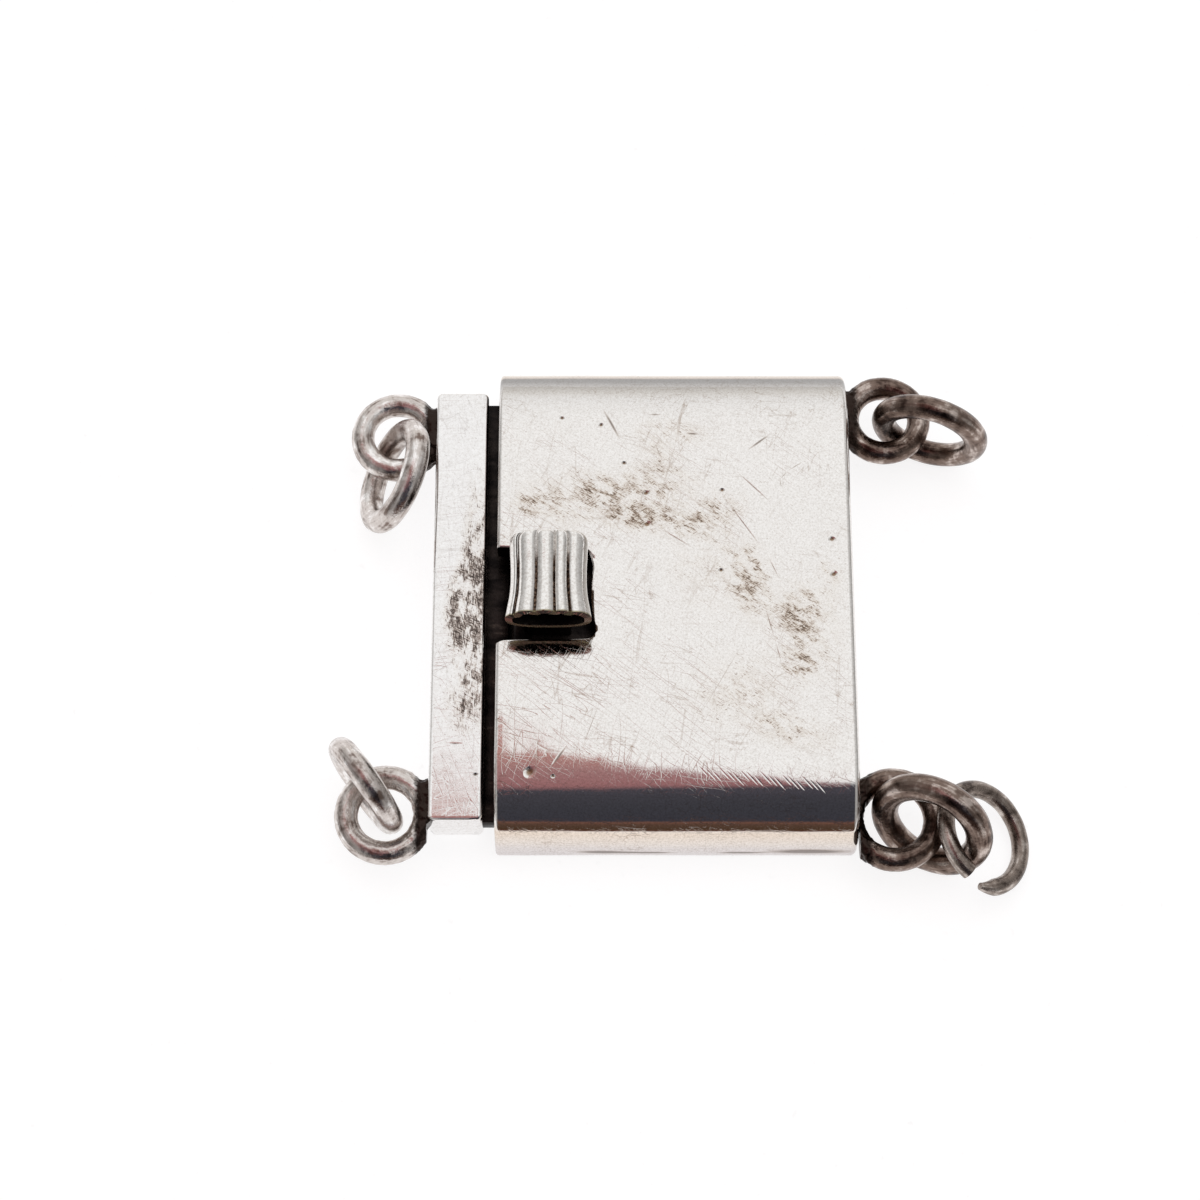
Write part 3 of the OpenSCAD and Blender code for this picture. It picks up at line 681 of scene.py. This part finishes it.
def wire_tree():
    """Round wire swept along the path it is given, as thick as the path's own attribute says."""
    tree, given, output = new_tree(
        "bent wire", ("Wire", "Float", WIRE), ("Sides", "Int", 28), ("Dents", "Float", 0.02),
        ("Finish", "Material", None))
    path = add(tree, "GeometryNodeMeshToCurve", ("Mesh", given.outputs["Geometry"]))
    radius = add(tree, MATH, given.outputs["Wire"], 0.5, operation="MULTIPLY")
    circle = add(tree, "GeometryNodeCurvePrimitiveCircle", ("Resolution", given.outputs["Sides"]),
                 ("Radius", radius), mode="RADIUS")
    place = add(tree, "GeometryNodeInputPosition")
    section = add(tree, "GeometryNodeStoreNamedAttribute", ("Geometry", circle), ("Name", "around"),
                  ("Value", place), data_type="FLOAT_VECTOR")
    thick = add(tree, "GeometryNodeInputNamedAttribute", ("Name", "thick"), data_type="FLOAT")
    swept = add(tree, "GeometryNodeCurveToMesh", ("Curve", path), ("Profile Curve", section),
                ("Scale", thick), ("Fill Caps", True))
    dents = add(tree, NOISE, ("Vector", place), ("Scale", 1.1), ("Detail", 2.0))
    centred = add(tree, MATH, dents.outputs["Fac"], 0.62, operation="SUBTRACT")
    depth = add(tree, MATH, centred, given.outputs["Dents"], operation="MULTIPLY")
    normal = add(tree, "GeometryNodeInputNormal")
    move = add(tree, VECTOR, normal, ("Scale", depth), operation="SCALE")
    dented = add(tree, "GeometryNodeSetPosition", ("Geometry", swept), ("Offset", move))
    return end_tree(tree, given, output, dented)


def eye_tree():
    """An eye of round wire run together with the solder it is given, lumpy where the solder is."""
    tree, given, output = new_tree(
        "soldered eye", ("Radius", "Float", 1.85), ("Wire", "Float", WIRE), ("Centre", "Vector", None),
        ("Face", "Float", 0.0), ("Side", "Float", 1.0), ("Grain", "Float", 0.06), ("Lumps", "Float", 0.16),
        ("Finish", "Material", None))
    turn = add(tree, "GeometryNodeCurvePrimitiveCircle", ("Resolution", 96),
               ("Radius", given.outputs["Radius"]), mode="RADIUS")
    half = add(tree, MATH, given.outputs["Wire"], 0.5, operation="MULTIPLY")
    section = add(tree, "GeometryNodeCurvePrimitiveCircle", ("Resolution", 32), ("Radius", half),
                  mode="RADIUS")
    swept = add(tree, "GeometryNodeCurveToMesh", ("Curve", turn), ("Profile Curve", section))
    placed = add(tree, "GeometryNodeTransform", ("Geometry", swept),
                 ("Translation", given.outputs["Centre"]))
    both = add(tree, "GeometryNodeJoinGeometry", (0, placed), (0, given.outputs["Geometry"]))
    solid = add(tree, "GeometryNodeMeshToVolume", ("Mesh", both), ("Voxel Size", given.outputs["Grain"]),
                resolution_mode="VOXEL_SIZE")
    skin = add(tree, "GeometryNodeVolumeToMesh", ("Volume", solid), ("Threshold", 0.1),
               ("Voxel Size", given.outputs["Grain"]), resolution_mode="VOXEL_SIZE")
    place = add(tree, "GeometryNodeInputPosition")
    smooth = add(tree, "GeometryNodeBlurAttribute", ("Value", place), ("Iterations", 4),
                 data_type="FLOAT_VECTOR")
    soft = add(tree, "GeometryNodeSetPosition", ("Geometry", skin), ("Position", smooth))

    # solder: full up to 0.1 mm from the face of the metal and gone 1.25 mm out from it
    parts = add(tree, "ShaderNodeSeparateXYZ", place)
    off = add(tree, MATH, parts.outputs[0], given.outputs["Face"], operation="SUBTRACT")
    out = add(tree, MATH, off, given.outputs["Side"], operation="MULTIPLY")
    share = add(tree, "ShaderNodeMapRange", ("Value", out), ("From Min", 0.1), ("From Max", 1.25),
                ("To Min", 1.0), ("To Max", 0.0), interpolation_type="SMOOTHSTEP")
    bumps = add(tree, NOISE, ("Vector", place), ("Scale", 2.4), ("Detail", 3.0))
    centred = add(tree, MATH, bumps.outputs["Fac"], 0.66, operation="SUBTRACT")
    lumps = add(tree, MATH, share, given.outputs["Lumps"], operation="MULTIPLY")
    some = add(tree, MATH, lumps, 0.05, operation="ADD")
    depth = add(tree, MATH, centred, some, operation="MULTIPLY")
    normal = add(tree, "GeometryNodeInputNormal")
    move = add(tree, VECTOR, normal, ("Scale", depth), operation="SCALE")
    lumpy = add(tree, "GeometryNodeSetPosition", ("Geometry", soft), ("Offset", move))

    # the wire's own directions, for streaks that follow it round
    local = add(tree, VECTOR, place, given.outputs["Centre"], operation="SUBTRACT")
    flat = add(tree, VECTOR, local, (1, 1, 0), operation="MULTIPLY")
    length = add(tree, VECTOR, flat, operation="LENGTH")
    unit = add(tree, VECTOR, flat, operation="NORMALIZE")
    along = add(tree, VECTOR, unit, ("Scale", given.outputs["Radius"]), operation="SCALE")
    wide = add(tree, MATH, length.outputs["Value"], given.outputs["Radius"], operation="SUBTRACT")
    high = add(tree, "ShaderNodeSeparateXYZ", local)
    around = add(tree, "ShaderNodeCombineXYZ", ("X", wide), ("Y", high.outputs[2]))
    geometry = lumpy
    for label, node, kind in (("along", along, "FLOAT_VECTOR"), ("around", around, "FLOAT_VECTOR"),
                              ("solder", share, "FLOAT")):
        geometry = add(tree, "GeometryNodeStoreNamedAttribute", ("Geometry", geometry), ("Name", label),
                       ("Value", node), data_type=kind)
    return end_tree(tree, given, output, geometry)


def flute_tree():
    """The outline it is given, swept across the clasp with a waist and rounded at its far end."""
    tree, given, output = new_tree(
        "fluted tube", ("Start", "Vector", None), ("End", "Vector", None), ("Stations", "Int", 60),
        ("Finish", "Material", None))
    outline = add(tree, "GeometryNodeMeshToCurve", ("Mesh", given.outputs["Geometry"]))
    line = add(tree, "GeometryNodeCurvePrimitiveLine", ("Start", given.outputs["Start"]),
               ("End", given.outputs["End"]))
    path = add(tree, "GeometryNodeResampleCurve", ("Curve", line), ("Count", given.outputs["Stations"]))
    share = add(tree, "GeometryNodeSplineParameter")
    waist = add(tree, "ShaderNodeFloatCurve", ("Value", share.outputs["Factor"]))
    points = waist.mapping.curves[0].points
    for _ in range(len(WAIST) - 2):
        points.new(0.5, 0.5)
    for point, spot in zip(points, WAIST):
        point.location = spot
    waist.mapping.update()
    swept = add(tree, "GeometryNodeCurveToMesh", ("Curve", path), ("Profile Curve", outline),
                ("Scale", waist))
    return end_tree(tree, given, output, swept)


# Scale of the tab's section from its far end (0) to its near end (1).
WAIST = [(0.0, 0.8), (0.025, 0.865), (0.07, 0.905), (0.2, 0.905), (0.45, 0.885), (0.7, 0.9),
         (0.9, 0.965), (1.0, 1.0)]
bent_wire, soldered_eye, fluted_tube = wire_tree(), eye_tree(), flute_tree()


# Wire pieces

def ring_plane(turn, lean):
    """Two directions in the plane of a ring: level at its turn, and up its lean, in degrees."""
    turn, lean = math.radians(turn), math.radians(lean)
    level = Vector((math.cos(turn), math.sin(turn), 0))
    slope = Vector((-math.sin(turn) * math.cos(lean), math.cos(turn) * math.cos(lean), math.sin(lean)))
    return level, slope


def ring_path(middle, radius, turn, lean, wobble):
    """Closed path of a hand-bent ring, a little out of round by the wobble."""
    level, slope = ring_plane(turn, lean)
    steps = 96
    points, alongs = [], []
    for k in range(steps):
        t = 2 * math.pi * k / steps
        out = radius * (1 + wobble * math.cos(2 * t + 1.1) + 0.4 * wobble * math.cos(3 * t))
        points.append(Vector(middle) + out * (math.cos(t) * level + math.sin(t) * slope))
        alongs.append((radius * math.cos(t), radius * math.sin(t), 0))
    return points, [(k, (k + 1) % steps) for k in range(steps)], alongs, [1.0] * steps


def wire_piece(node, path, wire, dents, finish, slot, body):
    """A ring of wire swept along its path, which carries its own place and thickness."""
    points, edges, alongs, thicks = path
    mesh = mesh_of("path", points, [], edges)
    mesh.attributes.new("along", "FLOAT_VECTOR", "POINT")
    mesh.attributes.new("thick", "FLOAT", "POINT")
    for k, (place, size) in enumerate(zip(alongs, thicks)):
        mesh.attributes["along"].data[k].vector = place
        mesh.attributes["thick"].data[k].value = size
    obj = work(mesh)
    run_tree(obj, bent_wire, Wire=wire, Dents=dents, Finish=finish)
    return piece(node + "_wire", outward(baked(obj)), body, node, slot, finish, crease=60)


def open_path():
    """Path of the open ring: one turn that stops short, its ends spread and one end pinched."""
    start, sweep, spread, radius = 140.0, 333.0, 0.63, 2.5
    level, slope = ring_plane(98, 33)
    normal = level.cross(slope)
    middle = Vector((15.2, -12.4, 1.959))
    points, alongs, thicks = [], [], []
    steps = 90
    for k in range(steps + 1):
        share = k / steps
        t = math.radians(start - share * sweep)
        points.append(middle + radius * (math.cos(t) * level + math.sin(t) * slope)
                      + spread * (0.5 - share) * normal)
        alongs.append((radius * math.cos(t), radius * math.sin(t), 0))
        thicks.append(pinched(share))
    return points, [(k, k + 1) for k in range(steps)], alongs, thicks


def pinched(share):
    """Thickness along the open ring: its last end is pinched to a blunt point."""
    return 0.42 + 0.58 * share_of(1 - share, 0.06)


def solder_mesh(centre, radius, side, face_x, near, far, thick):
    """Solder between an eye and the face it stands on, mirrored by the side it is on."""
    cx, cy, cz = centre
    reach = abs(face_x - cx)
    first, last = [math.degrees(math.asin(run / radius * 0.95)) for run in (far, near)]
    line = [(reach - 0.5, -near - 0.12), (reach + 0.15, -near - 0.3),
            (reach + 0.15, far + 0.3), (reach - 0.5, far + 0.12)]
    line += arc(0, 0, radius, radius, first, -last, 8)
    # a pillow: each level is drawn in towards the middle line, more so above and below
    mid_x, mid_y = reach + 0.15, (far - near) / 2
    levels = [(-0.5, 0.5), (-0.42, 0.78), (-0.25, 0.94), (0, 1.0), (0.25, 0.94), (0.42, 0.78), (0.5, 0.5)]
    return loft("solder", [
        [(cx + side * (mid_x + (x - mid_x) * size), cy + mid_y + (y - mid_y) * size, cz + level * thick)
         for x, y in line] for level, size in levels])


def eyes(name, rows, face_x, side, corner_y, body, finish):
    """The two eyes on one half of the clasp, each run into its solder, as one piece."""
    parts = []
    for centre, radius, near, far, lumps in rows:
        obj = work(solder_mesh(centre, radius, side, face_x, near, far, 1.25))
        run_tree(obj, soldered_eye, Radius=radius, Wire=WIRE, Centre=centre, Face=face_x, Side=-side,
                 Grain=0.06, Lumps=lumps, Finish=finish)
        mesh = baked(obj)
        for v in mesh.vertices:
            # the wire ends inside the metal, or flush with it where it passes a corner
            depth = 0.35 - 0.4 * share_of(corner_y - v.co.y, 0.4)
            limit = face_x + side * depth
            v.co.x = min(v.co.x, limit) if side > 0 else max(v.co.x, limit)
        parts.append(mesh)
    merged = joined(*[work(part) for part in parts])
    return piece(name, merged, body, body, "ring_silver", finish, crease=60)


def joined(first, second):
    """Two scratch objects as one mesh."""
    tree, given, output = new_tree("joined")
    info = add(tree, "GeometryNodeObjectInfo", ("Object", second))
    both = add(tree, "GeometryNodeJoinGeometry", (0, given), (0, info.outputs["Geometry"]))
    feed(tree, output, both)
    run_tree(first, tree)
    mesh = baked(first)
    bpy.data.objects.remove(second)
    bpy.data.node_groups.remove(tree)
    return mesh


# Thumb tab

# Grooves that part the five flutes, measured across from the tab's middle.
GROOVES = [-2.4, -1.08, -0.33, 0.67, 1.68, 2.3]
FLUTE_DEPTH = 0.23


def tab_outline():
    """The tab's section in mm about its own middle: a flattened tube with flutes on its top."""
    half, high = TAB_W / 2, TAB_H / 2
    points, grooves = [], []
    count = 260
    for k in range(count):
        t = -2 * math.pi * k / count
        c, s = math.cos(t), math.sin(t)
        x = half * math.copysign(abs(c) ** 0.78, c)
        z = high * math.copysign(abs(s) ** 0.72, s)
        left, right = next(pair for pair in zip(GROOVES, GROOVES[1:]) if pair[0] <= x < pair[1])
        off = abs(2 * x - left - right) / (right - left)
        top = share_of(s - 0.05, 0.3)
        groove = top * share_of(off - 0.62, 0.3)
        # the flute at the right hangs lower than the rest
        lower = 0.16 * share_of(x - 1.6, 0.12)
        sink = top * (FLUTE_DEPTH * off ** 2.6 + lower)
        points.append((x, sink - z, 0.0))
        grooves.append(groove)
    return points, grooves


def thumb_tab():
    """The tab's outline swept across the clasp, still without the thickness of its wall."""
    points, grooves = tab_outline()
    n = len(points)
    mesh = mesh_of("outline", points, [], [(k, (k + 1) % n) for k in range(n)])
    depth = mesh.attributes.new("groove", "FLOAT", "POINT")
    for k, value in enumerate(grooves):
        depth.data[k].value = value
    obj = work(mesh)
    mid_z, half = TAB_Z + TAB_H / 2, TAB_LEN / 2
    run_tree(obj, fluted_tube, Start=(TAB_X, TAB_Y + half, mid_z), End=(TAB_X, TAB_Y - half, mid_z),
             Stations=60, Finish=tab_silver)
    return obj


def blacken_tube(mesh):
    """The inside of the tab's tube takes the second finish."""
    for face in mesh.polygons:
        x, y, z = face.center / MM
        toward = face.normal.x * (x - TAB_X) + face.normal.z * (z - TAB_Z - TAB_H / 2)
        if toward < 0 and abs(face.normal.y) < 0.6:
            face.material_index = 1


# Pieces

shell = piece("box_shell", box_shell(), "box", "box", "box_silver", sheet_silver, inner_silver)
blacken_inside(shell.data)
piece("end_bar", worn_bar(), "tongue", "tongue", "tongue_silver", bar_silver)
piece("neck", block_mesh(NECK, 0.08), "tongue", "tongue", "tongue_silver", inner_silver)
piece("lower_leaf", block_mesh(LOWER_LEAF, 0.06), "tongue", "tongue", "tongue_silver", inner_silver)
piece("upper_leaf", upper_leaf(), "leaf", "spring_leaf", "tongue_silver", inner_silver)
foot = (TAB_X - 1.1, TAB_X + 1.1, TAB_Y - 1.75, TAB_Y + 1.75, 2.8, TAB_Z + 0.25)
piece("tab_foot", block_mesh(foot, 0.15), "leaf", "spring_leaf", "tab_silver", inner_silver)

tab = thumb_tab()
modify(tab, "SOLIDIFY", thickness=0.36, offset=-1, use_even_offset=False)
modify(tab, "BEVEL", width=0.09, segments=3, angle_limit=math.radians(55))
tube = piece("thumb_tab", baked(tab), "leaf", "spring_leaf", "tab_silver", tab_silver, inner_silver,
             crease=50)
blacken_tube(tube.data)

# each eye: centre, radius, how far its solder runs to the near and the far side, lumps
eyes("tongue_eyes", [((-14.325, 9.15, 2.2), 1.85, 1.3, 1.5, 0.2),
                     ((-14.425, -11.35, 2.2), 1.95, 0.3, 1.7, 0.34)],
     BAR[0], 1, BAR[2] + 0.3, "tongue", bright_silver)
eyes("box_eyes", [((11.025, 10.15, 2.2), 1.85, 1.4, 1.5, 0.2), ((10.775, -11.57, 2.2), 2.05, 1.1, 1.9, 0.3)],
     END_X, -1, -11.7, "box", ring_silver)

# each ring: node, middle, radius, turn, lean, wire, body
RINGS = [
    ("jump_ring_back_left", (-14.432, 6.733, 2.762), 2.48, -100, 59.5, WIRE, "tongue"),
    ("jump_ring_front_left", (-15.39, -10.01, 2.79), 2.17, -54, 90.7, WIRE, "tongue"),
    ("jump_ring_back_right", (13.31, 9.18, 3.06), 2.44, -17, 88.5, WIRE, "box"),
    ("jump_ring_front_right", (12.56, -12.03, 2.95), 2.47, 151, 112.8, 1.35, "box")]
for name, middle, radius, turn, lean, wire, body in RINGS:
    wire_piece(name, ring_path(middle, radius, turn, lean, 0.006), wire, 0.05,
               bright_silver if body == "tongue" else ring_silver, "ring_silver", body)
wire_piece("open_jump_ring", open_path(), 0.88, 0.03, open_silver, "open_ring_silver", "box")


# Paper, camera and light

def plain_floor():
    """White paper, overexposed as in a catalogue picture."""
    r = 1.2
    mesh = mesh_of("paper", [(-r, -r, 0), (r, -r, 0), (r, r, 0), (-r, r, 0)], [(0, 1, 2, 3)])
    floor = bpy.data.objects.new("paper", mesh)
    bpy.context.scene.collection.objects.link(floor)
    material, tree, shader = new_material("white paper")
    place = add(tree, "ShaderNodeTexCoord").outputs["Object"]
    fleck = grain(tree, place, 0.5, detail=4, rough=0.7)
    flecked = stops(add(tree, RAMP, fleck), (0.28, "6C6C6C"), (0.4, "8A8B8C"))
    feed(tree, shader, ("Base Color", flecked), ("Metallic", 0), ("Roughness", 0.9),
         ("Specular IOR Level", 0.1), ("Emission Color", colour("FFFEFE")), ("Emission Strength", 0.85))
    mesh.materials.append(material)


def camera():
    data = bpy.data.cameras.new("camera")
    data.sensor_width = 36
    data.lens = 82.956
    data.clip_start = 0.005
    data.clip_end = 10
    eye = bpy.data.objects.new("camera", data)
    bpy.context.scene.collection.objects.link(eye)
    place = Vector((-3.79, -50.52, 134.03)) * MM
    target = Vector((-3.79, 0.163, 2.0)) * MM
    turn = (target - place).to_track_quat("-Z", "Y").to_matrix().to_4x4()
    eye.matrix_world = Matrix.Translation(place) @ turn @ Matrix.Rotation(math.radians(0.043), 4, "Z")
    bpy.context.scene.camera = eye


def lights():
    """A white tent, open towards the camera, where warm pink tones and a dark room show through."""
    world = bpy.data.worlds.new("white tent")
    bpy.context.scene.world = world
    world.use_nodes = True
    tree = world.node_tree
    way = add(tree, "ShaderNodeTexCoord").outputs["Generated"]
    parts = add(tree, "ShaderNodeSeparateXYZ", way)
    # angle down from straight up, towards the camera's side, as a share of half a turn
    front = add(tree, MATH, parts.outputs[1], -1.0, operation="MULTIPLY")
    angle = add(tree, MATH, front, parts.outputs[2], operation="ARCTAN2")
    angle = add(tree, MATH, angle, math.pi, operation="DIVIDE")
    place = add(tree, MATH, angle, 0.5, 0.5, operation="MULTIPLY_ADD")

    def at(degrees):
        return 0.5 + degrees / 360
    # the dark room's upper edge comes higher towards the right
    rise, rise_middle = 34.4, 4.9
    way_x = add(tree, MATH, parts.outputs[0], -0.06, operation="MAXIMUM")
    way_x = add(tree, MATH, way_x, 0.1, operation="MINIMUM")
    lift = add(tree, MATH, way_x, rise / 360, rise_middle / 360, operation="MULTIPLY_ADD")
    weight = stops(add(tree, RAMP, place), (at(0), 0.0), (at(12), 1.0), (at(34), 1.0), (at(62), 0.0),
                   smooth=False)
    place = add(tree, MATH, lift, weight, place, operation="MULTIPLY_ADD")
    room = stops(add(tree, RAMP, place), (at(-97), "F4F1EC"), (at(-90), "EFECE8"), (at(-76), "F6F4F1"),
                 (at(-64), "FFFFFF"), (at(24), "FFFFFF"), (at(29), "48464E"), (at(50), "3E3E45"),
                 (at(71), "3A3A42"), (at(73.5), "7A5446"), (at(76), "5C453A"), (at(86), "4E3C2E"),
                 (at(91), "6A4038"), (at(97), "E8E2DC"), smooth=False)
    pink = stops(add(tree, RAMP, place), (at(-18), "BE8F88"), (at(5), "A57C7C"), (at(26), "9C6E70"),
                 (at(31), "48464E"), smooth=False)
    # the pink begins along a steep edge that runs away to the right, in degrees, and ends at the room
    steep, start, least, pink_end = 267, -5.0, -17.0, 31
    slope = add(tree, MATH, parts.outputs[0], steep / 180, start / 180, operation="MULTIPLY_ADD")
    edge = add(tree, MATH, slope, least / 180, operation="MAXIMUM")
    past = add(tree, MATH, angle, edge, operation="SUBTRACT")
    inside = add(tree, MATH, past, 30.0, 0.5, operation="MULTIPLY_ADD")
    inside = stops(add(tree, RAMP, inside), (0.35, 0.0), (0.65, 1.0))
    before = add(tree, MATH, angle, pink_end / 180, operation="LESS_THAN")
    inside = add(tree, MATH, inside, before, operation="MULTIPLY")
    mixed = add(tree, MIX, ("Factor", inside), (6, room), (7, pink), data_type="RGBA")
    # the opening is narrow: to both sides of it the tent is white again
    wide = add(tree, MATH, parts.outputs[0], operation="ABSOLUTE")
    wide = stops(add(tree, RAMP, wide), (0.34, 0.0), (0.6, 0.68))
    mixed = add(tree, MIX, ("Factor", wide), (6, mixed.outputs[2]), (7, colour("F4F2F0")), data_type="RGBA")
    # the tent's sides are greyer, which shades the flanks of round things
    aside = add(tree, MATH, parts.outputs[0], operation="ABSOLUTE")
    aside = stops(add(tree, RAMP, aside), (0.3, 1.0), (0.65, 0.66), (0.95, 0.42))
    shaded = add(tree, MIX, ("Factor", 1.0), (6, mixed.outputs[2]), (7, aside), data_type="RGBA",
                 blend_type="MULTIPLY")
    # seen directly, past the edge of the paper, the tent is as plain and white as the paper
    seen = add(tree, "ShaderNodeLightPath").outputs["Is Camera Ray"]
    plain = add(tree, MIX, ("Factor", seen), (6, shaded.outputs[2]), (7, colour("FBFBFB")),
                data_type="RGBA")
    background = tree.nodes["Background"]
    feed(tree, background, plain.outputs[2], 1.0)

    # a wide overhead light that only the paper feels, since metal shows no soft light
    data = bpy.data.lights.new("overhead", "AREA")
    data.shape = "DISK"
    data.size = 1.2
    data.energy = 2.0
    lamp = bpy.data.objects.new("overhead", data)
    lamp.matrix_world = Matrix.Translation((0, 0.1, 0.8))
    lamp.visible_glossy = False
    bpy.context.scene.collection.objects.link(lamp)


plain_floor()
camera()
lights()
bpy.context.scene.view_settings.view_transform = "Standard"
